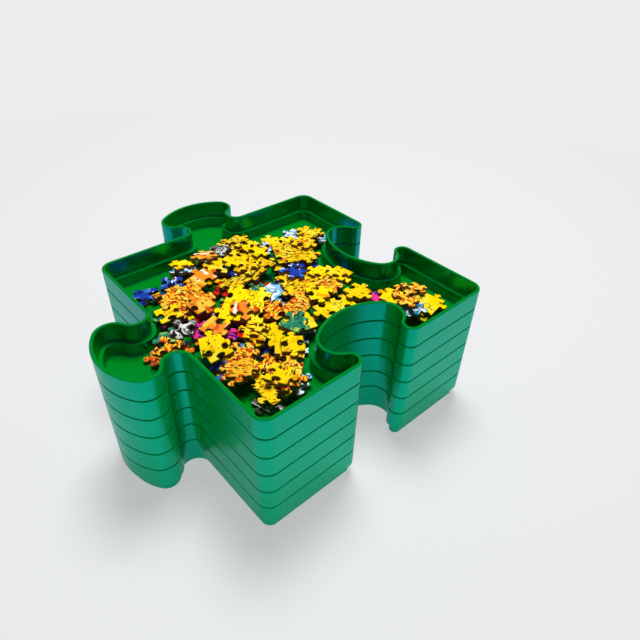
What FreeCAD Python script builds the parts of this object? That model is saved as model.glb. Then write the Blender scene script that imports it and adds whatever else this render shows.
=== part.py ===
import FreeCAD, Part
import itertools
import math
import os
import random

# Six puzzle-sorting trays, nested one in another, with loose puzzle pieces in the top one.
# Each tray is shaped like a puzzle piece: tabs on its -Y and -X sides, sockets on +X and +Y.
# The origin is the centre of the lowest tray's square body, on its underside, and +Z is up.
# All sizes are millimetres.

# Tray plan
TRAY_COUNT = 6
BODY_SIDE = 160.0  # square body, without its tabs
TAB_REACH = 36.0  # how far a tab stands out of the body
TAB_NECK = 16.5  # half the tab's width at its neck
TAB_LIP = 6.0  # radius where the side turns into the neck
TAB_HEAD = 26.0  # half the tab's widest width
TAB_CHEEK = 10.0  # radius of the head's two shoulders
BODY_CORNER = 8.0
LOCK_GAP = 0.4  # all round between two trays locked side by side

# Tray section
TRAY_HEIGHT = 20.0
WALL = 2.0
FLOOR = 2.0
FOOT_HEIGHT = 7.1  # the part that drops inside the tray below
SHOULDER = 2.0  # thickness of the ring that rests on the rim below
FOOT_GAP = 0.35  # between the foot and the rim that it drops into
RIM_ROUND = 0.7
SHOULDER_ROUND = 0.6
LEDGE_ROUND = 0.5
FOOT_ROUND = 1.5
FLOOR_ROUND = 1.0

# Loose puzzle pieces
PIECE_SIDE = 12.4
PIECE_SIDE_SPREAD = 0.6
PIECE_THICKNESS = 2.1
PIECE_CORNER = 0.7
PIECE_NECK = 1.4
PIECE_LIP = 0.6
PIECE_HEAD = 2.2
PIECE_CHEEK = 1.2
PIECE_REACH = 3.6
KNOB_SHIFT = 0.5  # furthest that a knob sits from the middle of its side
PIECE_CUT = 0.2  # saw-thin gap between two pieces that are still joined
BORDER_SHARE = 0.06  # share of sides with no knob

# How the pieces lie
REST_GAP = 0.1  # between a piece and what it lies on
WALL_CLEARANCE = 0.8  # between the heap and the tray's floor edge
STEEPEST_SLOPE = 0.2
GRID = 0.75  # spacing of the height map that the pieces settle on
HEAP_HEIGHT = 11.0  # above the floor; a piece that would lie higher slides further out
TRIES = 20  # spots that a piece is tried at, of which it takes the lowest
MOST_TRIES = 90  # spots tried for a piece that lies too high everywhere
STRAY_SPREAD = 1.0
SPOT_SPREAD = 0.25  # how much further out each next spot may be
SEED = 46

# Plan of the heap's foot, as corners in order
HEAP_EDGE = [
    (-50, -67), (-66, -46), (-69, -18), (-65, 24), (-48, 46), (-16, 44), (10, 36),
    (32, 40), (56, 44), (50, 26), (36, 10), (38, -24), (56, -36), (58, -60), (40, -72),
    (8, -74), (-24, -72),
]
LOWEST_LAYER = 30
MIXED_SHARE = 0.35  # share of the lowest layer that is of any design

# Pieces that lie by themselves about the heap's foot: design, x, y
STRAYS = [
    ("black_white", 58, -60),
    ("black_white", -68, -10),
    ("plain_yellow", 56, -48),
    ("sky_swirl", 66, -47),
    ("orange", -6, -84),
    ("plain_yellow", -6, -90),
    ("royal_blue", -19, 45),
    ("black_white", -61, -36),
    ("orange_fleck", 48, 50),
    ("royal_blue", -47, 48),
    ("magenta", -21, -65),
]

# Where each printed design lies: design, x, y, spread, loose pieces, joined columns and rows
PATCHES = [
    ("sky_swirl", -55, 20, 3, 0, 1, 1),
    ("sky_swirl", -46, 44, 2, 0, 1, 1),
    ("royal_blue", -28, 48, 3, 0, 2, 1),
    ("sky_swirl", -23, 46, 3, 1, 1, 1),
    ("red", -58, 3, 2, 0, 1, 1),
    ("royal_blue", -29, 17, 2, 0, 1, 1),
    ("black_white", -62, -12, 3, 1, 0, 0),
    ("royal_blue", -49, -14, 2, 0, 1, 1),
    ("red", -32, -20, 3, 0, 2, 1),
    ("green", -19, -11, 2, 0, 1, 1),
    ("sky_swirl", -10, -6, 3, 0, 2, 1),
    ("royal_blue", 6, 11, 3, 0, 1, 1),
    ("green", 9, 15, 3, 0, 1, 1),
    ("royal_blue", 7, 21, 3, 1, 0, 0),
    ("royal_blue", -47, -49, 3, 1, 1, 1),
    ("sky_swirl", -54, -41, 3, 1, 0, 0),
    ("magenta", -33, -47, 3, 0, 1, 1),
    ("red", -20, -45, 3, 0, 2, 1),
    ("red", 1, -32, 3, 0, 2, 1),
    ("magenta", 30, 9, 2, 1, 0, 0),
    ("sky_swirl", 31, -19, 2, 0, 2, 1),
    ("sky_swirl", 36, -15, 2, 1, 0, 0),
    ("green", 28, -7, 2, 1, 0, 0),
    ("green", -30, -57, 3, 1, 1, 1),
    ("black_white", -13, -56, 3, 1, 0, 0),
    ("magenta", 4, -55, 3, 0, 2, 1),
    ("royal_blue", -10, -72, 3, 1, 1, 1),
    ("royal_blue", 30, -66, 2, 0, 1, 1),
    ("sky_swirl", 26, -50, 2, 0, 1, 1),
    ("plain_yellow", -50, 36, 3, 1, 1, 1),
    ("speckled_yellow", -63, 8, 3, 1, 2, 1),
    ("speckled_yellow", -33, 32, 3, 1, 2, 2),
    ("plain_yellow", -41, 11, 3, 2, 2, 1),
    ("plain_yellow", -52, -20, 3, 1, 1, 1),
    ("orange", -48, -31, 3, 1, 2, 1),
    ("speckled_yellow", -31, -3, 3, 1, 3, 1),
    ("speckled_yellow", -7, 17, 3, 1, 2, 2),
    ("plain_yellow", 3, 31, 3, 2, 1, 2),
    ("plain_yellow", -15, -26, 3, 0, 2, 2),
    ("orange_fleck", 3, -6, 3, 1, 2, 1),
    ("plain_yellow", 22, 21, 3, 1, 2, 2),
    ("orange_fleck", 32, 31, 3, 2, 2, 1),
    ("orange_fleck", 42, 43, 3, 1, 2, 1),
    ("plain_yellow", 20, -12, 3, 0, 3, 1),
    ("plain_yellow", 24, 6, 3, 1, 2, 1),
    ("plain_yellow", -20, -60, 3, 1, 1, 1),
    ("orange", 2, -46, 3, 1, 1, 1),
    ("speckled_yellow", 23, -38, 3, 1, 3, 1),
    ("plain_yellow", 28, -39, 3, 1, 1, 1),
    ("orange", -5, -65, 3, 1, 0, 0),
    ("orange_fleck", 15, -65, 3, 1, 2, 2),
    ("orange_fleck", 44, -30, 2, 0, 1, 2),
    ("orange_fleck", 42, -45, 3, 1, 2, 1),
    ("plain_yellow", 26, -54, 3, 1, 1, 1),
    ("plain_yellow", 40, -62, 2, 1, 0, 0),
]

# Worked out from the sizes above
PITCH = TRAY_HEIGHT - FOOT_HEIGHT
TRAY_CELL = BODY_SIDE + LOCK_GAP
RIM_OUTSIDE = LOCK_GAP / 2
RIM_INSIDE = RIM_OUTSIDE + WALL
FOOT_OUTSIDE = RIM_INSIDE + FOOT_GAP
FOOT_INSIDE = FOOT_OUTSIDE + WALL
LEDGE_HEIGHT = FOOT_HEIGHT + SHOULDER
TOP_FLOOR_LEVEL = (TRAY_COUNT - 1) * PITCH + FLOOR
GRID_MARGIN = GRID * math.sqrt(0.5)
TRAY_KNOB = (TAB_NECK, TAB_LIP, TAB_HEAD, TAB_CHEEK, TAB_REACH)
PIECE_KNOB = (PIECE_NECK, PIECE_LIP, PIECE_HEAD, PIECE_CHEEK, PIECE_REACH)
TAB = 1
SOCKET = -1
STRAIGHT = 0
SAME_PLACE = 0.01  # tolerance for finding an edge by where it lies
TRAY_SIDES = [(TAB, 0.0), (SOCKET, 0.0), (SOCKET, 0.0), (TAB, 0.0)]


# Outlines: straight lines and tangent arcs, each arc as its start, middle and end


def arc(centre, start, end, turn):
    """The arc about centre from start to end; turn is 1 anticlockwise and -1 clockwise."""
    radius = math.dist(centre, start)
    first = math.atan2(start[1] - centre[1], start[0] - centre[0])
    last = math.atan2(end[1] - centre[1], end[0] - centre[0])
    sweep = turn * ((last - first) * turn % (2 * math.pi))
    half = first + sweep / 2
    middle = (centre[0] + radius * math.cos(half), centre[1] + radius * math.sin(half))
    return [start, middle, end]


def between(a, b, distance):
    """The point at a distance from a, towards b."""
    share = distance / math.dist(a, b)
    return (a[0] + (b[0] - a[0]) * share, a[1] + (b[1] - a[1]) * share)


def knob_arcs(knob, kind, inset):
    """The five arcs of a tab or a socket about the middle of a side, moved in by inset."""
    neck, lip, head, cheek, reach = knob
    lip_centre = (-(neck + lip), kind * lip)
    cheek_x = head - cheek
    rise = math.sqrt((lip + cheek) ** 2 - (neck + lip - cheek_x) ** 2)
    cheek_centre = (-cheek_x, kind * (lip + rise))
    drop = lip + rise - reach
    crown = (cheek**2 - cheek_x**2 - drop**2) / (2 * (drop + cheek))
    crown_centre = (0.0, kind * (reach - crown))
    lip_radius = lip + kind * inset
    crown_radius = crown - kind * inset
    base = (lip_centre[0], -inset)
    waist = between(lip_centre, cheek_centre, lip_radius)
    brow = between(crown_centre, cheek_centre, crown_radius)
    left = [
        arc(lip_centre, base, waist, kind),
        arc(cheek_centre, waist, brow, -kind),
    ]
    top = arc(crown_centre, brow, (-brow[0], brow[1]), -kind)
    right = [[(-u, v) for u, v in reversed(piece)] for piece in reversed(left)]
    return left + [top] + right


def outline(width, depth, corner, sides, knob, inset):
    """A closed outline, anticlockwise from the -Y side: its lines and arcs in order."""
    runs = []
    for index, (kind, shift) in enumerate(sides):
        length, away = ((width, depth), (depth, width))[index % 2]
        turn = index * math.pi / 2
        along = (math.cos(turn), math.sin(turn))
        out = (math.sin(turn), -math.cos(turn))

        def place(point):
            u, v = point
            return (along[0] * u + out[0] * (away / 2 + v), along[1] * u + out[1] * (away / 2 + v))

        end = length / 2 - corner
        stops = [(-end, -inset)]
        arcs = []
        if kind != STRAIGHT:
            arcs = [[(u + shift, v) for u, v in piece] for piece in knob_arcs(knob, kind, inset)]
            stops += [arcs[0][0], arcs[-1][-1]]
        stops.append((end, -inset))
        lines = [[stops[i], stops[i + 1]] for i in range(0, len(stops), 2)]
        side_run = lines[:1] + arcs + lines[1:]
        turn_point = (end + corner - inset, -corner)
        side_run.append(arc((end, -corner), (end, -inset), turn_point, -1))
        runs += [[place(point) for point in piece] for piece in side_run]
    return runs


def tray_outline(inset):
    return outline(TRAY_CELL, TRAY_CELL, BODY_CORNER, TRAY_SIDES, TRAY_KNOB, inset)


def wire(runs, height):
    edges = []
    for run in runs:
        points = [FreeCAD.Vector(x, y, height) for x, y in run]
        if len(points) == 2:
            edges.append(Part.makeLine(*points))
        else:
            edges.append(Part.Arc(*points).toShape())
    return Part.Wire(edges)


def prism(runs, bottom, top):
    """A solid with this outline, from one height to another."""
    return Part.Face(wire(runs, bottom)).extrude(FreeCAD.Vector(0, 0, top - bottom))


def polygon(runs):
    """The outline as corner points, with four steps along each arc."""
    points = []
    for run in runs:
        points.append(run[0])
        if len(run) == 3:
            bow = Part.Arc(*[FreeCAD.Vector(x, y, 0) for x, y in run])
            sweep = bow.LastParameter - bow.FirstParameter
            spots = [bow.value(bow.FirstParameter + sweep * step / 4) for step in (1, 2, 3)]
            points += [(spot.x, spot.y) for spot in spots]
    return points


# Tray


def rounded(shape, radius, inset, height):
    """The shape with its edges along the tray outline at this inset and height rounded."""
    line = wire(tray_outline(inset), height)
    edges = []
    for edge in shape.Edges:
        middle = edge.valueAt((edge.FirstParameter + edge.LastParameter) / 2)
        if abs(middle.z - height) < SAME_PLACE:
            if line.distToShape(Part.Vertex(middle))[0] < SAME_PLACE:
                edges.append(edge)
    return shape.makeFillet(radius, edges)


def tray():
    rim = prism(tray_outline(RIM_OUTSIDE), FOOT_HEIGHT, TRAY_HEIGHT)
    foot = prism(tray_outline(FOOT_OUTSIDE), 0, FOOT_HEIGHT)
    hollow = prism(tray_outline(RIM_INSIDE), LEDGE_HEIGHT, TRAY_HEIGHT)
    well = prism(tray_outline(FOOT_INSIDE), FLOOR, LEDGE_HEIGHT)
    shape = rim.fuse(foot).cut(hollow).cut(well).removeSplitter()
    shape = rounded(shape, RIM_ROUND, RIM_OUTSIDE, TRAY_HEIGHT)
    shape = rounded(shape, RIM_ROUND, RIM_INSIDE, TRAY_HEIGHT)
    shape = rounded(shape, SHOULDER_ROUND, RIM_OUTSIDE, FOOT_HEIGHT)
    shape = rounded(shape, LEDGE_ROUND, FOOT_INSIDE, LEDGE_HEIGHT)
    shape = rounded(shape, FLOOR_ROUND, FOOT_INSIDE, FLOOR)
    return rounded(shape, FOOT_ROUND, FOOT_OUTSIDE, 0).Solids[0]


# Height map of the top tray's floor, on which the pieces settle one by one


def squares_inside(points):
    """The grid squares whose centres lie inside a polygon."""
    squares = set()
    rows = [y / GRID for _, y in points]
    for row in range(math.floor(min(rows)), math.ceil(max(rows)) + 1):
        level = (row + 0.5) * GRID
        crossings = []
        for (x1, y1), (x2, y2) in zip(points, points[1:] + points[:1]):
            if (y1 > level) != (y2 > level):
                crossings.append(x1 + (x2 - x1) * (level - y1) / (y2 - y1))
        crossings.sort()
        for left, right in zip(crossings[::2], crossings[1::2]):
            first = math.ceil(left / GRID - 0.5)
            last = math.floor(right / GRID - 0.5)
            squares.update((column, row) for column in range(first, last + 1))
    return squares


def centre_of(square):
    return ((square[0] + 0.5) * GRID, (square[1] + 0.5) * GRID)


def solve_three(rules):
    """The level and two slopes that meet three linear rules exactly, or None."""
    (a, b, c, p), (d, e, f, q), (g, h, i, r) = rules
    scale = a * (e * i - f * h) - b * (d * i - f * g) + c * (d * h - e * g)
    if abs(scale) < 1e-9:
        return None
    level = p * (e * i - f * h) - b * (q * i - f * r) + c * (q * h - e * r)
    slope_x = a * (q * i - f * r) - p * (d * i - f * g) + c * (d * r - q * g)
    slope_y = a * (e * r - q * h) - b * (d * r - q * g) + p * (d * h - e * g)
    return (level / scale, slope_x / scale, slope_y / scale)


def shortfall(rule, plane):
    """How far a plane (level, slope in X, slope in Y) is below what a rule asks."""
    return rule[3] - (rule[0] * plane[0] + rule[1] * plane[1] + rule[2] * plane[2])


def resting_plane(squares, centre, steepest):
    """The plane that a flat piece comes to rest on: the lowest at its centre, over all squares."""
    limits = [(0, sign * (axis == 0), sign * (axis == 1), -steepest)
              for sign in (1, -1) for axis in (0, 1)]
    rules = []
    for square in squares:
        x, y = centre_of(square)
        rules.append((1, x - centre[0], y - centre[1], ground[square]))
    held = limits + [max(rules, key=lambda rule: rule[3])]
    plane = None
    for _ in range(30):
        best = None
        for three in itertools.combinations(held, 3):
            plane = solve_three(three)
            if plane and (best is None or plane[0] < best[0]):
                if all(shortfall(rule, plane) < 1e-6 for rule in held):
                    best = plane
        plane = best
        worst = max(rules, key=lambda rule: shortfall(rule, plane))
        if shortfall(worst, plane) < 0.01:
            break
        tight = [rule for rule in held[4:] if shortfall(rule, plane) > -1e-6]
        held = limits + tight + [worst]
    return plane


# Puzzle pieces


def joined_cells(dice, columns, rows):
    """A block of cells cut from one sheet: each cell's place and its four sides."""
    seams = {}

    def side(cell, other):
        if (other, cell) in seams:
            kind, shift = seams[(other, cell)]
            return (-kind, -shift)
        kind = STRAIGHT if dice.random() < BORDER_SHARE else dice.choice((TAB, SOCKET))
        inner = 0 <= other[0] < columns and 0 <= other[1] < rows
        if inner and kind == STRAIGHT:
            kind = TAB
        seams[(cell, other)] = (kind, dice.uniform(-KNOB_SHIFT, KNOB_SHIFT))
        return seams[(cell, other)]

    cells = []
    for column in range(columns):
        for row in range(rows):
            around = [(column, row - 1), (column + 1, row), (column, row + 1), (column - 1, row)]
            sides = [side((column, row), other) for other in around]
            cells.append(((column - (columns - 1) / 2, row - (rows - 1) / 2), sides))
    return cells


def cell_outlines(block, inset):
    """The outlines of a block's cells about the block's own centre."""
    width, depth, cells = block
    outlines = []
    for (column, row), sides in cells:
        runs = outline(width, depth, PIECE_CORNER, sides, PIECE_KNOB, inset)
        moved = [[(x + column * width, y + row * depth) for x, y in run] for run in runs]
        outlines.append(moved)
    return outlines


def covered_squares(polygons, spot, turn):
    """The grid squares under a block that is turned and moved to a spot."""
    squares = set()
    for points in polygons:
        turned = []
        for x, y in points:
            across = x * math.cos(turn) - y * math.sin(turn) + spot[0]
            along = x * math.sin(turn) + y * math.cos(turn) + spot[1]
            turned.append((across, along))
        squares |= squares_inside(turned)
    return squares


def settle(dice, block, spots):
    """Lay a block of pieces at the lowest of several spots and return its solids."""
    grown = [polygon(runs) for runs in cell_outlines(block, -GRID_MARGIN)]
    choice = (math.inf,)
    tries = 0
    while tries < TRIES or HEAP_HEIGHT < choice[0] and tries < MOST_TRIES:
        spot = next(spots)
        turn = dice.uniform(0, 2 * math.pi)
        squares = covered_squares(grown, spot, turn)
        if squares <= ground.keys():
            plane = resting_plane(squares, spot, STEEPEST_SLOPE / math.sqrt(len(grown)))
            top = plane[0] + PIECE_THICKNESS + math.hypot(plane[1], plane[2]) * PIECE_SIDE / 2
            choice = min(choice, (top, plane, spot, turn, squares), key=lambda option: option[0])
            tries += 1
    _, (level, slope_x, slope_y), spot, turn, squares = choice
    level += REST_GAP + GRID * (abs(slope_x) + abs(slope_y))
    rise = math.hypot(1, slope_x, slope_y)
    for square in squares:
        x, y = centre_of(square)
        height = level + slope_x * (x - spot[0]) + slope_y * (y - spot[1])
        ground[square] = height + PIECE_THICKNESS * rise
    up = FreeCAD.Vector(-slope_x, -slope_y, 1)
    tilt = FreeCAD.Rotation(FreeCAD.Vector(0, 0, 1), up)
    spin = FreeCAD.Rotation(FreeCAD.Vector(0, 0, 1), math.degrees(turn))
    place = FreeCAD.Placement(
        FreeCAD.Vector(spot[0], spot[1], TOP_FLOOR_LEVEL + level), tilt.multiply(spin)
    )
    solids = []
    for runs in cell_outlines(block, PIECE_CUT / 2):
        solid = prism(runs, 0, PIECE_THICKNESS)
        solid.Placement = place
        solids.append(solid)
    return solids


def new_block(dice, columns, rows):
    width = PIECE_SIDE + dice.uniform(-PIECE_SIDE_SPREAD, PIECE_SIDE_SPREAD)
    depth = PIECE_SIDE + dice.uniform(-PIECE_SIDE_SPREAD, PIECE_SIDE_SPREAD)
    return (width, depth, joined_cells(dice, columns, rows))


def spots_near(dice, x, y, spread):
    """Spots ever further from a place, without end."""
    reach = spread
    while True:
        yield (x + dice.gauss(0, reach / 2), y + dice.gauss(0, reach / 2))
        reach += SPOT_SPREAD


def nearest_design(spot):
    return min(PATCHES, key=lambda patch: math.dist(spot, patch[1:3]))[0]


os.makedirs("parts", exist_ok=True)

tray_solid = tray()
for number in range(TRAY_COUNT):
    lifted = tray_solid.translated(FreeCAD.Vector(0, 0, number * PITCH))
    lifted.exportStep(f"parts/tray_{number + 1}.step")

floor_edge = tray_outline(FOOT_INSIDE + FLOOR_ROUND + WALL_CLEARANCE)
ground = dict.fromkeys(squares_inside(polygon(floor_edge)), 0.0)
heap = {}
for number, (design, x, y) in enumerate(STRAYS):
    dice = random.Random(SEED * 3000 + number)
    solids = settle(dice, new_block(dice, 1, 1), spots_near(dice, x, y, STRAY_SPREAD))
    heap.setdefault(f"{design}_pieces_lowest", []).extend(solids)
base_squares = sorted(squares_inside(HEAP_EDGE))
for number in range(LOWEST_LAYER):
    dice = random.Random(SEED * 1000 + number)
    middle = centre_of(dice.choice(base_squares))
    design = nearest_design(middle)
    if dice.random() < MIXED_SHARE:
        design = dice.choice(PATCHES)[0]
    solids = settle(dice, new_block(dice, 1, 1), spots_near(dice, *middle, PIECE_SIDE))
    heap.setdefault(f"{design}_pieces_lowest", []).extend(solids)
for layer in ("middle", "top"):
    for number, (design, x, y, spread, loose, columns, rows) in enumerate(PATCHES):
        dice = random.Random(SEED * 2000 + number + len(layer) * 100)
        sizes = [(1, 1)] * loose if layer == "top" else [(columns, rows)] * (columns > 0)
        for size in sizes:
            solids = settle(dice, new_block(dice, *size), spots_near(dice, x, y, spread))
            heap.setdefault(f"{design}_pieces_{layer}", []).extend(solids)
for name, solids in heap.items():
    Part.makeCompound(solids).exportStep(f"parts/{name}.step")
print(sum(len(solids) for solids in heap.values()), "pieces, heaped to", max(ground.values()))
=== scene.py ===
import math

import bmesh
import bpy
import numpy as np
from mathutils import Matrix, Vector


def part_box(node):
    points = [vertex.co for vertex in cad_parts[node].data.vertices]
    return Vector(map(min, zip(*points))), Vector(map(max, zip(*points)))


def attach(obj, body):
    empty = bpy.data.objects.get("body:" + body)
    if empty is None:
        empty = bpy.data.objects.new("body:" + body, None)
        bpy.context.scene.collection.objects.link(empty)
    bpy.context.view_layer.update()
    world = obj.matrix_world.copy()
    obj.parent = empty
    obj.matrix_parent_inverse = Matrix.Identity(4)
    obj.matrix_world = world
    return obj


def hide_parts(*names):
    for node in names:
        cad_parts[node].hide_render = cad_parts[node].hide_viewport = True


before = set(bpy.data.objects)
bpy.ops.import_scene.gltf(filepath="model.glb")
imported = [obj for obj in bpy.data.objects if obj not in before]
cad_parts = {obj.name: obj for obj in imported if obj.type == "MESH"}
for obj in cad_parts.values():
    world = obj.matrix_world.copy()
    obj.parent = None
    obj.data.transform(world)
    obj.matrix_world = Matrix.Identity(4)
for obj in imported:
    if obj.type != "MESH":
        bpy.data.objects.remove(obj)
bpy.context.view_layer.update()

# ---------------------------------------------------------------------------
# Sorting trays
# Six thin-walled trays, each moulded in one shot of glossy green plastic in the shape of a puzzle
# piece. A tray's foot drops inside the rim below, and its shoulder rests on that rim.

MM = 0.001
TRAY_HEIGHT = 20.0 * MM
SEAT_GAP = 0.02 * MM  # hair of air between a shoulder and the rim it rests on
FOOT_HEIGHT = 7.1 * MM + SEAT_GAP
LEDGE_HEIGHT = 9.1 * MM
FLOOR_HEIGHT = 2.0 * MM
WALL = 2.0 * MM
CELL = 160.4 * MM  # step from tray to tray where they lock side by side
RIM_OUTSIDE = 0.2 * MM  # half of the gap between two locked trays
RIM_INSIDE = RIM_OUTSIDE + WALL
FOOT_GAP = 0.35 * MM
FOOT_OUTSIDE = RIM_INSIDE + FOOT_GAP
FOOT_INSIDE = FOOT_OUTSIDE + WALL
BODY_CORNER = 8.0 * MM
TAB_REACH = 36.0 * MM
HALF_NECK, LIP_RADIUS = 16.5 * MM, 6.0 * MM
HALF_HEAD, CHEEK_RADIUS = 26.0 * MM, 10.0 * MM
LIP_POINTS, CHEEK_POINTS, CROWN_POINTS, CORNER_POINTS = 12, 18, 24, 12  # points to an arc
TAB, SOCKET = 1, -1
TRAY_SIDES = (TAB, SOCKET, SOCKET, TAB)  # anticlockwise, from the -Y side


def arc_points(centre, radius, first, last, count):
    """Points along an arc, from one angle to another, without its last point."""
    angles = np.linspace(first, last, count, endpoint=False)
    return [(centre[0] + radius * math.cos(a), centre[1] + radius * math.sin(a)) for a in angles]


def side_points(kind, inset):
    """One side of the outline, outward along +V: a line, the five tangent arcs of its tab or
    socket, a line and the body's corner."""
    lip_x = HALF_NECK + LIP_RADIUS
    cheek_x = HALF_HEAD - CHEEK_RADIUS
    rise = math.sqrt((LIP_RADIUS + CHEEK_RADIUS) ** 2 - (lip_x - cheek_x) ** 2)
    cheek_y = LIP_RADIUS + rise
    drop = cheek_y - TAB_REACH
    crown = (CHEEK_RADIUS**2 - cheek_x**2 - drop**2) / (2 * (drop + CHEEK_RADIUS))
    waist = math.atan2(rise, lip_x - cheek_x)
    brow = math.atan2(drop + crown, cheek_x)
    lip = LIP_RADIUS + kind * inset
    cheek = CHEEK_RADIUS - kind * inset
    left = arc_points((-lip_x, LIP_RADIUS), lip, -math.pi / 2, waist, LIP_POINTS)
    left += arc_points((-cheek_x, cheek_y), cheek, math.pi + waist, math.pi - brow, CHEEK_POINTS)
    arch = arc_points(
        (0, TAB_REACH - crown), crown - kind * inset, math.pi - brow, brow, CROWN_POINTS
    )
    arch.append((cheek_x + cheek * math.cos(brow), cheek_y + cheek * math.sin(brow)))
    right = [(-u, v) for u, v in reversed(left[1:])] + [(lip_x, LIP_RADIUS - lip)]
    run = CELL / 2 - BODY_CORNER
    knob = [(u, kind * v) for u, v in left + arch + right]
    corner = arc_points((run, -BODY_CORNER), BODY_CORNER - inset, math.pi / 2, 0, CORNER_POINTS)
    return [(-run, -inset)] + knob + [(run, -inset)] + corner[1:]


def tray_outline(inset):
    """The tray's outline moved in by inset, anticlockwise from its -Y side."""
    points = []
    for index, kind in enumerate(TRAY_SIDES):
        turn = index * math.pi / 2
        for u, v in side_points(kind, inset):
            away = CELL / 2 + v
            x = math.cos(turn) * u + math.sin(turn) * away
            y = math.sin(turn) * u - math.cos(turn) * away
            points.append((x, y))
    return points


def rounded_step(corner, radius, arriving, leaving, count=5):
    """A quarter round at a corner of the wall's section, between two directions (inset, height),
    in count points."""
    steps = []
    for share in np.linspace(0, 1, count):
        back = 1 - math.sin(share * math.pi / 2)
        on = 1 - math.cos(share * math.pi / 2)
        inset = corner[0] - arriving[0] * radius * back + leaving[0] * radius * on
        height = corner[1] - arriving[1] * radius * back + leaving[1] * radius * on
        steps.append((inset, height))
    return steps


UP, DOWN, OUTWARD, INWARD = (0, 1), (0, -1), (-1, 0), (1, 0)
UNDERSIDE_ROUND, FLOOR_ROUND, RIM_ROUND = 1.5 * MM, 1.0 * MM, 0.7 * MM
FOOT_FILLET, SHOULDER_ROUND = 0.15 * MM, 0.6 * MM
LEDGE_FILLET, LEDGE_ROUND = 0.3 * MM, 0.5 * MM
RELIEF_INSET, RELIEF = 1.3 * MM, 0.35 * MM  # the shoulder's outer edge clears the rim below
wall_section = (
    rounded_step((FOOT_OUTSIDE, 0), UNDERSIDE_ROUND, OUTWARD, UP, 7)
    + rounded_step((FOOT_OUTSIDE, FOOT_HEIGHT), FOOT_FILLET, UP, OUTWARD, 3)
    + [(RELIEF_INSET, FOOT_HEIGHT), (RELIEF_INSET, FOOT_HEIGHT + RELIEF)]
    + rounded_step((RIM_OUTSIDE, FOOT_HEIGHT + RELIEF), SHOULDER_ROUND, OUTWARD, UP)
    + rounded_step((RIM_OUTSIDE, TRAY_HEIGHT), RIM_ROUND, UP, INWARD)
    + rounded_step((RIM_INSIDE, TRAY_HEIGHT), RIM_ROUND, INWARD, DOWN)
    + rounded_step((RIM_INSIDE, LEDGE_HEIGHT), LEDGE_FILLET, DOWN, INWARD, 4)
    + rounded_step((FOOT_INSIDE, LEDGE_HEIGHT), LEDGE_ROUND, INWARD, DOWN, 4)
    + rounded_step((FOOT_INSIDE, FLOOR_HEIGHT), FLOOR_ROUND, DOWN, INWARD)
)


def add_node(tree, kind, values=None, **settings):
    """A node of any tree, with its settings and the values of its unlinked inputs."""
    node = tree.nodes.new(kind)
    for key, value in settings.items():
        setattr(node, key, value)
    for key, value in (values or {}).items():
        node.inputs[key].default_value = value
    return node


def new_group(name, kind, inputs, outputs):
    """A node group with named inputs and outputs, and its two end nodes."""
    group = bpy.data.node_groups.new(name, f"{kind}NodeTree")
    for side, sockets in (("INPUT", inputs), ("OUTPUT", outputs)):
        for label, socket in sockets:
            group.interface.new_socket(label, in_out=side, socket_type=f"NodeSocket{socket}")
    return group, group.nodes.new("NodeGroupInput"), group.nodes.new("NodeGroupOutput")


WELD_REACH = 0.02 * MM
WHOLE_NUMBER = 2  # a Compare node's first socket for whole numbers


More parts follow.
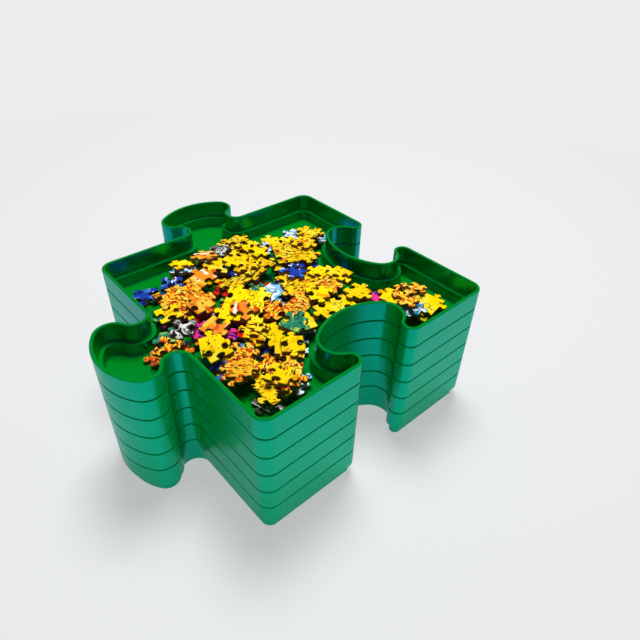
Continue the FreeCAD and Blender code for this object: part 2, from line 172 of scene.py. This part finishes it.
def tray_sweep():
    """A tree that sweeps the wall's section round the outline, closes it with the floor and the
    underside, and lifts the tray to its place in the stack, with its inputs' identifiers."""
    inputs = [("Lines", "Geometry"), ("Floor inset", "Float"), ("Floor height", "Float")]
    inputs += [("Underside inset", "Float"), ("Lift", "Float"), ("Plastic", "Material")]
    tree, start, end = new_group("tray_sweep", "Geometry", inputs, [("Tray", "Geometry")])
    keys = {socket.name: socket.identifier for socket in tree.interface.items_tree}
    link = tree.links.new

    def moved(geometry, offset):
        node = add_node(tree, "GeometryNodeSetPosition")
        link(geometry, node.inputs["Geometry"])
        link(offset, node.inputs["Offset"])
        return node.outputs[0]

    def raised(geometry, height):
        upward = add_node(tree, "ShaderNodeCombineXYZ")
        link(height, upward.inputs["Z"])
        return moved(geometry, upward.outputs[0])

    # Of the two lines, number 0 is the outline and the other one the wall's section
    first = add_node(tree, "FunctionNodeCompare", data_type="INT", operation="EQUAL")
    link(add_node(tree, "GeometryNodeInputIndex").outputs[0], first.inputs[WHOLE_NUMBER])
    split = add_node(tree, "GeometryNodeSeparateGeometry", domain="CURVE")
    link(start.outputs["Lines"], split.inputs["Geometry"])
    link(first.outputs[0], split.inputs["Selection"])
    outline = add_node(tree, "GeometryNodeSetCurveNormal", mode="Z_UP")
    link(split.outputs["Selection"], outline.inputs["Curve"])
    wall = add_node(tree, "GeometryNodeCurveToMesh")
    link(outline.outputs[0], wall.inputs["Curve"])
    link(split.outputs["Inverted"], wall.inputs["Profile Curve"])
    inward = add_node(tree, "GeometryNodeInputNormal")
    plates = []
    for label in ("Floor inset", "Underside inset"):
        reach = add_node(tree, "ShaderNodeVectorMath", operation="SCALE")
        link(inward.outputs[0], reach.inputs[0])
        link(start.outputs[label], reach.inputs["Scale"])
        plate = add_node(tree, "GeometryNodeFillCurve", mode="NGONS")
        link(moved(outline.outputs[0], reach.outputs[0]), plate.inputs[0])
        plates.append(plate.outputs[0])
    turned = add_node(tree, "GeometryNodeFlipFaces")
    link(plates[1], turned.inputs[0])
    joined = add_node(tree, "GeometryNodeJoinGeometry")
    floor = raised(plates[0], start.outputs["Floor height"])
    for geometry in (turned.outputs[0], floor, wall.outputs[0]):
        link(geometry, joined.inputs[0])
    welded = add_node(tree, "GeometryNodeMergeByDistance", {"Distance": WELD_REACH})
    link(joined.outputs[0], welded.inputs["Geometry"])
    real = add_node(tree, "GeometryNodeRealizeInstances")
    link(raised(welded.outputs[0], start.outputs["Lift"]), real.inputs[0])
    dressed = add_node(tree, "GeometryNodeSetMaterial")
    link(real.outputs[0], dressed.inputs["Geometry"])
    link(start.outputs["Plastic"], dressed.inputs["Material"])
    link(dressed.outputs[0], end.inputs[0])
    return tree, keys


def tray_lines():
    """The outline and the wall's section as the two splines that the sweep takes."""
    lines = bpy.data.curves.new("tray_lines", "CURVE")
    lines.dimensions = "3D"
    section = [(inset, -height) for inset, height in wall_section]
    for points, closed in ((tray_outline(0)[::-1], True), (section, False)):
        spline = lines.splines.new("POLY")
        spline.points.add(len(points) - 1)
        for point, (x, y) in zip(spline.points, points):
            point.co = (x, y, 0, 1)
        spline.use_cyclic_u = closed
    return bpy.data.objects.new("tray_lines", lines)


def as_mesh(maker, name):
    """What an object's modifiers make of it, as a plain object of its own."""
    graph = bpy.context.evaluated_depsgraph_get()
    mesh = bpy.data.meshes.new_from_object(maker.evaluated_get(graph), depsgraph=graph)
    mesh.name = name
    piece = bpy.data.objects.new(name, mesh)
    bpy.context.collection.objects.link(piece)
    return piece


def colour(red, green, blue):
    """A display colour, 0 to 255, as the linear colour that shaders take."""
    shares = [level / 255 for level in (red, green, blue)]
    return (*(s / 12.92 if s <= 0.04045 else ((s + 0.055) / 1.055) ** 2.4 for s in shares), 1.0)


def new_material(name):
    """A material, its node tree and its shader."""
    material = bpy.data.materials.new(name)
    material.use_nodes = True
    return material, material.node_tree, material.node_tree.nodes["Principled BSDF"]


MIX_FROM, MIX_TO, MIXED = 6, 7, 2  # a Mix node's sockets for colours
DEEP_GREEN, FRESH_GREEN = colour(0, 134, 28), colour(0, 148, 36)
BLUISH_GLOSS = (0.0, 0.7, 0.78, 1.0)


def green_plastic():
    """Glossy injection-moulded plastic: slow shrink waves, faint rubbed marks and colour drift."""
    material, tree, shader = new_material("green_plastic")
    link = tree.links.new
    place = add_node(tree, "ShaderNodeTexCoord")
    drift = add_node(tree, "ShaderNodeTexNoise", {"Scale": 14.0, "Detail": 3.0})
    waves = add_node(tree, "ShaderNodeTexNoise", {"Scale": 24.0, "Detail": 1.0})
    marks = {"Scale": 60.0, "Detail": 4.0, "Distortion": 1.0}
    rubbed = add_node(tree, "ShaderNodeTexNoise", marks)
    for texture in (drift, waves, rubbed):
        link(place.outputs["Object"], texture.inputs["Vector"])
    greens = {MIX_FROM: DEEP_GREEN, MIX_TO: FRESH_GREEN}
    tint = add_node(tree, "ShaderNodeMix", greens, data_type="RGBA")
    link(drift.outputs["Fac"], tint.inputs["Factor"])
    link(tint.outputs[MIXED], shader.inputs["Base Color"])
    rubbing = {"From Min": 0.4, "From Max": 0.7, "To Min": 0.22, "To Max": 0.28}
    dull = add_node(tree, "ShaderNodeMapRange", rubbing)
    link(rubbed.outputs["Fac"], dull.inputs["Value"])
    link(dull.outputs["Result"], shader.inputs["Roughness"])
    relief = add_node(tree, "ShaderNodeBump", {"Strength": 0.1, "Distance": 0.5 * MM})
    link(waves.outputs["Fac"], relief.inputs["Height"])
    link(relief.outputs["Normal"], shader.inputs["Normal"])
    shader.inputs["IOR"].default_value = 2.2
    shader.inputs["Specular IOR Level"].default_value = 1.0
    shader.inputs["Specular Tint"].default_value = BLUISH_GLOSS
    return material


TRAY_COUNT = 6
plastic = green_plastic()
sweep, sweep_keys = tray_sweep()
tray_maker = tray_lines()
bpy.context.collection.objects.link(tray_maker)
for number in range(1, TRAY_COUNT + 1):
    cad_name = f"tray_{number}"
    sweeping = tray_maker.modifiers.new("sweep", "NODES")
    sweeping.node_group = sweep
    sweeping[sweep_keys["Floor inset"]] = FOOT_INSIDE + FLOOR_ROUND
    sweeping[sweep_keys["Floor height"]] = FLOOR_HEIGHT
    sweeping[sweep_keys["Underside inset"]] = FOOT_OUTSIDE + UNDERSIDE_ROUND
    sweeping[sweep_keys["Lift"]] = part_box(cad_name)[0][2]
    sweeping[sweep_keys["Plastic"]] = plastic
    tray = as_mesh(tray_maker, f"green_tray_{number}")
    tray_maker.modifiers.remove(sweeping)
    tray.data.shade_smooth()
    evening = tray.modifiers.new("even_shading", "WEIGHTED_NORMAL")
    evening.weight = 100
    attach(tray, cad_name)
    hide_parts(cad_name)
bpy.data.objects.remove(tray_maker)

# ---------------------------------------------------------------------------
# Loose jigsaw pieces
# Printed paper laminated on 2.1 mm grey-brown board, stamped out by a steel-rule die whose push
# rolls the print over at the top edge. They lie in a heap in the top tray.

BOARD = 2.1 * MM
SAME_PLACE = 0.001 * MM
SAME_PLANE = 0.005  # turn in radians between faces that count as one
TOP_CORNERS, TOP_RISE = 20, 0.5  # a piece's top has more corners, and its normal more rise
KEPT_TURN = math.radians(8)
KEPT_STEP = 1.2 * MM
SHARPEST_LEAN = 0.6
# Inset and drop of each line of the rolled-over edge
ROLLED_EDGE = ((0.0, 0.32 * MM), (0.06 * MM, 0.14 * MM), (0.18 * MM, 0.04 * MM), (0.4 * MM, 0.0))


def die_cut_outlines(node):
    """The top face of each solid in a CAD node, as its corners and its normal."""
    copy = bmesh.new()
    copy.from_mesh(node.data)
    bmesh.ops.remove_doubles(copy, verts=copy.verts, dist=SAME_PLACE)
    bmesh.ops.dissolve_limit(copy, angle_limit=SAME_PLANE, verts=copy.verts, edges=copy.edges)
    outlines = []
    for face in copy.faces:
        if len(face.verts) > TOP_CORNERS and face.normal.z > TOP_RISE:
            outlines.append(([v.co.copy() for v in face.verts], face.normal.copy()))
    copy.free()
    return outlines


def thinned(points):
    """The outline with only the points that its turns and long runs need."""
    kept, turned, run = [], 0.0, 0.0
    for i, point in enumerate(points):
        before = point - points[i - 1]
        after = points[(i + 1) % len(points)] - point
        turned += before.angle(after)
        run += before.length
        if turned > KEPT_TURN or run > KEPT_STEP:
            kept.append(point)
            turned = run = 0.0
    return kept


def inset_points(points, normal, inset):
    """The outline moved in by inset, in its own plane."""
    moved = []
    for i, point in enumerate(points):
        back = (point - points[i - 1]).normalized()
        on = (points[(i + 1) % len(points)] - point).normalized()
        inward = (normal.cross(back) + normal.cross(on)).normalized()
        lean = max(SHARPEST_LEAN, inward.dot(normal.cross(on)))
        moved.append(point + inward * (inset / lean))
    return moved


TILT_DECIMALS = 3  # pieces that lie joined agree in their normal to this many


def print_frame(normal, frames, rng):
    """The picture's turn, shift and tone on a plane, the same for pieces that lie joined in it."""
    key = tuple(round(part, TILT_DECIMALS) for part in normal)
    if key not in frames:
        turn = rng.uniform(0, 2 * math.pi)
        across = Vector((math.cos(turn), math.sin(turn), 0))
        across = (across - normal * across.dot(normal)).normalized()
        shifts_and_tone = [rng.uniform(0, 1) for _ in range(3)]
        frames[key] = (across, normal.cross(across), *shifts_and_tone)
    return frames[key]


PRINT_SIDE, CUT_SIDE = 0, 1  # a piece's material slots
SHARP_TURN = math.radians(40)


def printed_pieces(name, node, rng):
    """One mesh for a node's pieces: board underneath, its cut sides and the rolled-over print."""
    vertices, faces, materials, picture, tones, edge_shade = [], [], [], [], [], []
    frames = {}
    for outline, normal in die_cut_outlines(node):
        outline = thinned(outline)
        count = len(outline)
        across, along, shift_x, shift_y, tone = print_frame(normal, frames, rng)
        rings = [([p - normal * BOARD for p in outline], 1.0)]
        for level, (inset, drop) in enumerate(ROLLED_EDGE):
            ring = inset_points(outline, normal, inset) if inset else outline
            # Weight of the painted shade on the print: 1 at the rolled top edge, falling to 0
            # inward
            shade_weight = 1 - level / (len(ROLLED_EDGE) - 1)
            rings.append(([p - normal * drop for p in ring], shade_weight))
        base = len(vertices)
        for ring, shade_weight in rings:
            for point in ring:
                vertices.append(point)
                picture.append((point.dot(across) + shift_x, point.dot(along) + shift_y))
                edge_shade.append(shade_weight)
                tones.append(tone)
        faces.append([base + i for i in reversed(range(count))])
        materials.append(CUT_SIDE)
        for level in range(len(rings) - 1):
            low, high = base + level * count, base + (level + 1) * count
            for i in range(count):
                j = (i + 1) % count
                faces.append((low + i, low + j, high + j, high + i))
                materials.append(CUT_SIDE if level == 0 else PRINT_SIDE)
        faces.append([base + (len(rings) - 1) * count + i for i in range(count)])
        materials.append(PRINT_SIDE)
    mesh = bpy.data.meshes.new(name)
    mesh.from_pydata(vertices, [], faces)
    mesh.polygons.foreach_set("material_index", materials)
    mesh.polygons.foreach_set("use_smooth", [True] * len(faces))
    mesh.uv_layers.new(name="print")
    layer = mesh.uv_layers["print"].data
    for loop in mesh.loops:
        layer[loop.index].uv = picture[loop.vertex_index]
    for label, values in (("tone", tones), ("edge_shade", edge_shade)):
        mesh.attributes.new(label, "FLOAT", "POINT").data.foreach_set("value", values)
    mesh.set_sharp_from_angle(angle=SHARP_TURN)
    piece = bpy.data.objects.new(name, mesh)
    bpy.context.collection.objects.link(piece)
    return piece


FLECKS, STROKES = 2, 3  # a Mix node's sockets for numbers


def ink_layer():
    """One ink of the printed picture over what lies below it: flecks where a stretched and
    swirled noise passes Cover, or with Lines at 1, strokes along the noise's middle value."""
    inputs = [("Place", "Vector"), ("Below", "Color"), ("Ink", "Color"), ("Size", "Float")]
    inputs += [("Stretch", "Float"), ("Cover", "Float"), ("Softness", "Float"), ("Swirl", "Float")]
    inputs += [("Lines", "Float")]
    group, start, end = new_group("ink_layer", "Shader", inputs, [("Colour", "Color")])
    link = group.links.new
    ratio = add_node(group, "ShaderNodeCombineXYZ", {"X": 1.0, "Z": 1.0})
    link(start.outputs["Stretch"], ratio.inputs["Y"])
    bend = add_node(group, "ShaderNodeTexNoise", {"Scale": 130.0, "Detail": 1.0})
    link(start.outputs["Place"], bend.inputs["Vector"])
    centred = add_node(group, "ShaderNodeVectorMath", {1: (0.5, 0.5, 0.5)}, operation="SUBTRACT")
    link(bend.outputs["Color"], centred.inputs[0])
    push = add_node(group, "ShaderNodeVectorMath", operation="SCALE")
    link(centred.outputs[0], push.inputs[0])
    link(start.outputs["Swirl"], push.inputs["Scale"])
    bent = add_node(group, "ShaderNodeVectorMath", operation="ADD")
    link(start.outputs["Place"], bent.inputs[0])
    link(push.outputs[0], bent.inputs[1])
    drawn = add_node(group, "ShaderNodeVectorMath", operation="MULTIPLY")
    link(bent.outputs[0], drawn.inputs[0])
    link(ratio.outputs[0], drawn.inputs[1])
    noise = add_node(group, "ShaderNodeTexNoise", {"Detail": 1.0, "Roughness": 0.4})
    link(drawn.outputs[0], noise.inputs["Vector"])
    link(start.outputs["Size"], noise.inputs["Scale"])
    middle = add_node(group, "ShaderNodeMath", {1: 0.5}, operation="SUBTRACT")
    link(noise.outputs["Fac"], middle.inputs[0])
    away = add_node(group, "ShaderNodeMath", operation="ABSOLUTE")
    link(middle.outputs[0], away.inputs[0])
    contour = add_node(group, "ShaderNodeMath", {1: -2.0, 2: 1.0}, operation="MULTIPLY_ADD")
    link(away.outputs[0], contour.inputs[0])
    drawing = add_node(group, "ShaderNodeMix")
    link(start.outputs["Lines"], drawing.inputs["Factor"])
    link(noise.outputs["Fac"], drawing.inputs[FLECKS])
    link(contour.outputs[0], drawing.inputs[STROKES])
    full = add_node(group, "ShaderNodeMath", operation="ADD")
    link(start.outputs["Cover"], full.inputs[0])
    link(start.outputs["Softness"], full.inputs[1])
    mask = add_node(group, "ShaderNodeMapRange")
    link(drawing.outputs[0], mask.inputs["Value"])
    link(start.outputs["Cover"], mask.inputs["From Min"])
    link(full.outputs[0], mask.inputs["From Max"])
    over = add_node(group, "ShaderNodeMix", data_type="RGBA")
    link(mask.outputs["Result"], over.inputs["Factor"])
    link(start.outputs["Below"], over.inputs[MIX_FROM])
    link(start.outputs["Ink"], over.inputs[MIX_TO])
    link(over.outputs[MIXED], end.inputs["Colour"])
    return group


def pressed_paper():
    """The fine crossed threads that coated puzzle paper is pressed with, as a height."""
    sockets = [("Place", "Vector")], [("Height", "Float")]
    group, start, end = new_group("pressed_paper", "Shader", *sockets)
    link = group.links.new
    heights = []
    weave = {"Scale": 260.0, "Distortion": 1.5}
    for direction in ("X", "Y"):
        threads = add_node(group, "ShaderNodeTexWave", weave, bands_direction=direction)
        link(start.outputs["Place"], threads.inputs["Vector"])
        heights.append(threads.outputs["Fac"])
    total = add_node(group, "ShaderNodeMath", operation="ADD")
    link(heights[0], total.inputs[0])
    link(heights[1], total.inputs[1])
    link(total.outputs[0], end.inputs["Height"])
    return group


ink = ink_layer()
paper_press = pressed_paper()
INK_VALUES = ("Size", "Stretch", "Cover", "Softness", "Swirl", "Lines")
# Painted shade: the brown that darkens each piece's print towards its rolled top edge
EDGE_SHADE_BROWN = colour(120, 80, 44)


def printed_paper(name, paper, inks):
    """Glossy coated paper with its inks, a slight tone of its own for each piece, and a soft
    line of painted shade, darker brown towards the edge that the die rolled over."""
    material, tree, shader = new_material(name)
    link = tree.links.new
    place = add_node(tree, "ShaderNodeUVMap", uv_map="print")
    tone = add_node(tree, "ShaderNodeAttribute", attribute_name="tone")
    shade = add_node(tree, "ShaderNodeMapRange", {"To Min": 0.92, "To Max": 1.12})
    link(tone.outputs["Fac"], shade.inputs["Value"])
    below = None
    for shown, *values in inks:
        layer = add_node(tree, "ShaderNodeGroup", node_tree=ink)
        layer.inputs["Below"].default_value = colour(*paper)
        layer.inputs["Ink"].default_value = colour(*shown)
        for label, value in zip(INK_VALUES, values):
            layer.inputs[label].default_value = value
        link(place.outputs["UV"], layer.inputs["Place"])
        if below:
            link(below, layer.inputs["Below"])
        below = layer.outputs["Colour"]
    toned = add_node(tree, "ShaderNodeHueSaturation")
    link(below, toned.inputs["Color"])
    link(shade.outputs["Result"], toned.inputs["Value"])
    # Painted shade along each piece's rolled top edge: the print is mixed up to 0.3 towards brown
    # there
    shade_weight = add_node(tree, "ShaderNodeAttribute", attribute_name="edge_shade")
    shade_amount = add_node(tree, "ShaderNodeMapRange", {"To Min": 0.0, "To Max": 0.3})
    link(shade_weight.outputs["Fac"], shade_amount.inputs["Value"])
    edged = add_node(tree, "ShaderNodeMix", {MIX_TO: EDGE_SHADE_BROWN}, data_type="RGBA")
    link(shade_amount.outputs["Result"], edged.inputs["Factor"])
    link(toned.outputs["Color"], edged.inputs[MIX_FROM])
    link(edged.outputs[MIXED], shader.inputs["Base Color"])
    press = add_node(tree, "ShaderNodeGroup", node_tree=paper_press)
    link(place.outputs["UV"], press.inputs["Place"])
    relief = add_node(tree, "ShaderNodeBump", {"Strength": 0.12, "Distance": 0.05 * MM})
    link(press.outputs["Height"], relief.inputs["Height"])
    link(relief.outputs["Normal"], shader.inputs["Normal"])
    shader.inputs["Roughness"].default_value = 0.42
    return material


DARK_PULP, PALE_PULP = colour(84, 54, 32), colour(156, 116, 78)


def cut_board():
    """Grey-brown puzzle board: pressed fibre layers on the cut sides, flecks of pulp all over."""
    material, tree, shader = new_material("cut_board")
    link = tree.links.new
    place = add_node(tree, "ShaderNodeTexCoord")
    flat = add_node(tree, "ShaderNodeMapping", {"Scale": (1.0, 1.0, 6.0)})
    link(place.outputs["Object"], flat.inputs["Vector"])
    layers = add_node(tree, "ShaderNodeTexNoise", {"Scale": 900.0, "Detail": 4.0})
    link(flat.outputs["Vector"], layers.inputs["Vector"])
    browns = {MIX_FROM: DARK_PULP, MIX_TO: PALE_PULP}
    pulp = add_node(tree, "ShaderNodeMix", browns, data_type="RGBA")
    link(layers.outputs["Fac"], pulp.inputs["Factor"])
    link(pulp.outputs[MIXED], shader.inputs["Base Color"])
    fuzz = add_node(tree, "ShaderNodeBump", {"Strength": 0.5, "Distance": 0.1 * MM})
    link(layers.outputs["Fac"], fuzz.inputs["Height"])
    link(fuzz.outputs["Normal"], shader.inputs["Normal"])
    shader.inputs["Roughness"].default_value = 0.9
    return material


# Each design's paper colour, then its inks: colour, strokes to the metre, and the rest of
# INK_VALUES, the last being 1 for an ink drawn in lines
designs = {
    "plain_yellow": (
        (255, 220, 0),
        [
            ((255, 238, 60), 110, 0.6, 0.52, 0.2, 0.004, 0),
            ((232, 158, 6), 160, 0.3, 0.6, 0.1, 0.006, 0),
            ((92, 50, 8), 800, 0.4, 0.65, 0.04, 0.001, 0),
        ],
    ),
    "speckled_yellow": (
        (255, 208, 10),
        [
            ((255, 228, 60), 150, 0.7, 0.5, 0.2, 0.004, 0),
            ((238, 142, 20), 190, 0.6, 0.6, 0.12, 0.004, 0),
            ((64, 30, 8), 900, 0.35, 0.55, 0.05, 0.002, 0),
        ],
    ),
    "orange_fleck": (
        (252, 198, 40),
        [
            ((255, 222, 80), 160, 0.6, 0.5, 0.15, 0.004, 0),
            ((216, 66, 14), 800, 0.4, 0.52, 0.05, 0.004, 0),
            ((84, 24, 10), 950, 0.4, 0.59, 0.04, 0.003, 0),
        ],
    ),
    "orange": (
        (246, 146, 34),
        [
            ((226, 74, 22), 150, 0.3, 0.56, 0.08, 0.006, 0),
            ((255, 204, 60), 200, 0.3, 0.54, 0.1, 0.004, 0),
            ((255, 240, 216), 260, 0.16, 0.6, 0.05, 0.006, 0),
            ((110, 40, 14), 700, 0.3, 0.64, 0.04, 0.003, 0),
        ],
    ),
    "red": (
        (218, 22, 22),
        [
            ((246, 84, 46), 150, 0.5, 0.56, 0.1, 0.006, 0),
            ((128, 4, 26), 210, 0.4, 0.58, 0.06, 0.006, 0),
            ((250, 226, 214), 260, 0.14, 0.64, 0.03, 0.004, 0),
        ],
    ),
    "magenta": (
        (226, 48, 148),
        [
            ((248, 128, 190), 160, 0.4, 0.58, 0.1, 0.004, 0),
            ((30, 22, 116), 420, 0.1, 0.52, 0.04, 0.006, 0),
        ],
    ),
    "royal_blue": (
        (26, 60, 168),
        [
            ((72, 142, 226), 200, 0.5, 0.56, 0.08, 0.006, 0),
            ((12, 18, 84), 230, 0.5, 0.56, 0.06, 0.006, 0),
            ((236, 244, 252), 300, 0.3, 0.66, 0.03, 0.006, 0),
        ],
    ),
    "sky_swirl": (
        (232, 244, 252),
        [
            ((126, 190, 228), 160, 0.5, 0.5, 0.06, 0.016, 0),
            ((22, 128, 160), 180, 0.5, 0.92, 0.03, 0.016, 1),
            ((26, 48, 122), 240, 0.4, 0.62, 0.03, 0.016, 0),
        ],
    ),
    "green": (
        (40, 132, 96),
        [
            ((132, 188, 92), 200, 0.5, 0.54, 0.08, 0.008, 0),
            ((10, 66, 62), 240, 0.5, 0.92, 0.04, 0.01, 1),
            ((248, 214, 60), 330, 0.4, 0.66, 0.03, 0.004, 0),
        ],
    ),
    "black_white": (
        (96, 100, 94),
        [
            ((24, 24, 22), 230, 0.5, 0.52, 0.05, 0.014, 0),
            ((232, 234, 232), 220, 0.5, 0.93, 0.03, 0.016, 1),
        ],
    ),
}
PRINT_SEED = 7
board = cut_board()
rng = np.random.default_rng(PRINT_SEED)
for design, (paper, inks) in designs.items():
    face = printed_paper(f"{design}_paper", paper, inks)
    for layer in ("lowest", "middle", "top"):
        cad_name = f"{design}_pieces_{layer}"
        if cad_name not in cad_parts:
            continue
        piece = printed_pieces(f"printed_{cad_name}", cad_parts[cad_name], rng)
        piece.data.materials.append(face)
        piece.data.materials.append(board)
        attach(piece, "loose_pieces")
        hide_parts(cad_name)

# ---------------------------------------------------------------------------
# Studio
# A plain pale floor under the stack, a large soft lamp above and behind it, two small weak lamps
# low to its right and in front of it, and the camera above its near corner.

PALE = (0.84, 0.85, 0.86, 1.0)
FLOOR_REACH = 4.0
FLOOR_PAPER = (0.79, 0.8, 0.81, 1.0)
# The floor's share of plain backdrop is NEAR_SHARE up to LIT_REACH, and whole past PLAIN_REACH
NEAR_SHARE = 0.55
LIT_REACH, PLAIN_REACH = 0.25, 0.85


def add_seen(tree):
    """1 for a ray that comes straight from the camera or off a gloss, and 0 for any other."""
    path = add_node(tree, "ShaderNodeLightPath")
    seen = add_node(tree, "ShaderNodeMath", operation="MAXIMUM")
    tree.links.new(path.outputs["Is Camera Ray"], seen.inputs[0])
    tree.links.new(path.outputs["Is Glossy Ray"], seen.inputs[1])
    return seen.outputs[0]


def pale_floor():
    """A floor that keeps the shadow near the stack and turns into plain backdrop further out."""
    mesh = bpy.data.meshes.new("studio_floor")
    signs = ((-1, -1), (1, -1), (1, 1), (-1, 1))
    corners = [(FLOOR_REACH * x, FLOOR_REACH * y, 0) for x, y in signs]
    mesh.from_pydata(corners, [], [(0, 1, 2, 3)])
    floor = bpy.data.objects.new("studio_floor", mesh)
    bpy.context.collection.objects.link(floor)
    material, tree, shader = new_material("pale_paper")
    link = tree.links.new
    shader.inputs["Base Color"].default_value = FLOOR_PAPER
    shader.inputs["Roughness"].default_value = 0.85
    place = add_node(tree, "ShaderNodeTexCoord")
    distance = add_node(tree, "ShaderNodeVectorMath", operation="LENGTH")
    link(place.outputs["Object"], distance.inputs[0])
    ends = {"From Min": LIT_REACH, "From Max": PLAIN_REACH, "To Min": NEAR_SHARE}
    far = add_node(tree, "ShaderNodeMapRange", ends, interpolation_type="SMOOTHERSTEP")
    link(distance.outputs["Value"], far.inputs["Value"])
    share = add_node(tree, "ShaderNodeMath", operation="MULTIPLY")
    link(far.outputs["Result"], share.inputs[0])
    link(add_seen(tree), share.inputs[1])
    plain = add_node(tree, "ShaderNodeEmission", {"Color": PALE})
    blend = add_node(tree, "ShaderNodeMixShader")
    link(share.outputs[0], blend.inputs["Fac"])
    link(shader.outputs[0], blend.inputs[1])
    link(plain.outputs[0], blend.inputs[2])
    link(blend.outputs[0], tree.nodes["Material Output"].inputs["Surface"])
    mesh.materials.append(material)
    return floor


def soft_lamp(name, place, aim, size, power):
    """A square area lamp, in metres and watts, that gives no reflection of its own."""
    light = bpy.data.lights.new(name, "AREA")
    light.shape = "SQUARE"
    light.size = size
    light.energy = power
    lamp = bpy.data.objects.new(name, light)
    lamp.location = place
    lamp.rotation_euler = (Vector(aim) - Vector(place)).to_track_quat("-Z", "Y").to_euler()
    lamp.visible_glossy = False
    bpy.context.collection.objects.link(lamp)


pale_floor()
MID_STACK = (0, 0, 0.04)
soft_lamp("lamp_above", place=(-0.22, 0.25, 1.25), aim=(0, 0, 0), size=0.5, power=18.5)
soft_lamp("lamp_right", place=(1.1, 0.1, 0.04), aim=MID_STACK, size=0.15, power=2.5)
soft_lamp("lamp_low", place=(0.8, -0.8, 0.03), aim=MID_STACK, size=0.15, power=4.5)

SKY_FILL = 0.07
world = bpy.data.worlds.new("studio")
bpy.context.scene.world = world
world.use_nodes = True
sky = world.node_tree
lit = sky.nodes["Background"]
lit.inputs["Color"].default_value = (1.0, 1.0, 1.0, 1.0)
lit.inputs["Strength"].default_value = SKY_FILL
shown = add_node(sky, "ShaderNodeBackground", {"Color": PALE, "Strength": 1.0})
path = add_node(sky, "ShaderNodeLightPath")
pick = add_node(sky, "ShaderNodeMixShader")
sky.links.new(path.outputs["Is Camera Ray"], pick.inputs["Fac"])
sky.links.new(lit.outputs[0], pick.inputs[1])
sky.links.new(shown.outputs[0], pick.inputs[2])
sky.links.new(pick.outputs[0], sky.nodes["World Output"].inputs["Surface"])

bpy.context.scene.view_settings.view_transform = "Standard"

# The camera's place, its own right and its line of sight
CAMERA_PLACE = (0.20363, -0.16403, 0.25701)
RIGHT = Vector((0.66496, 0.74635, 0.02807)).normalized()
FORWARD = Vector((-0.57665, 0.53692, -0.61578)).normalized()
lens = bpy.data.cameras.new("camera")
lens.sensor_width = 36.0
lens.sensor_fit = "HORIZONTAL"
lens.lens = 30.23
lens.clip_start = 0.01
camera = bpy.data.objects.new("camera", lens)
turned = Matrix((RIGHT, RIGHT.cross(FORWARD), -FORWARD)).transposed()
camera.matrix_world = Matrix.Translation(CAMERA_PLACE) @ turned.to_4x4()
bpy.context.collection.objects.link(camera)
bpy.context.scene.camera = camera
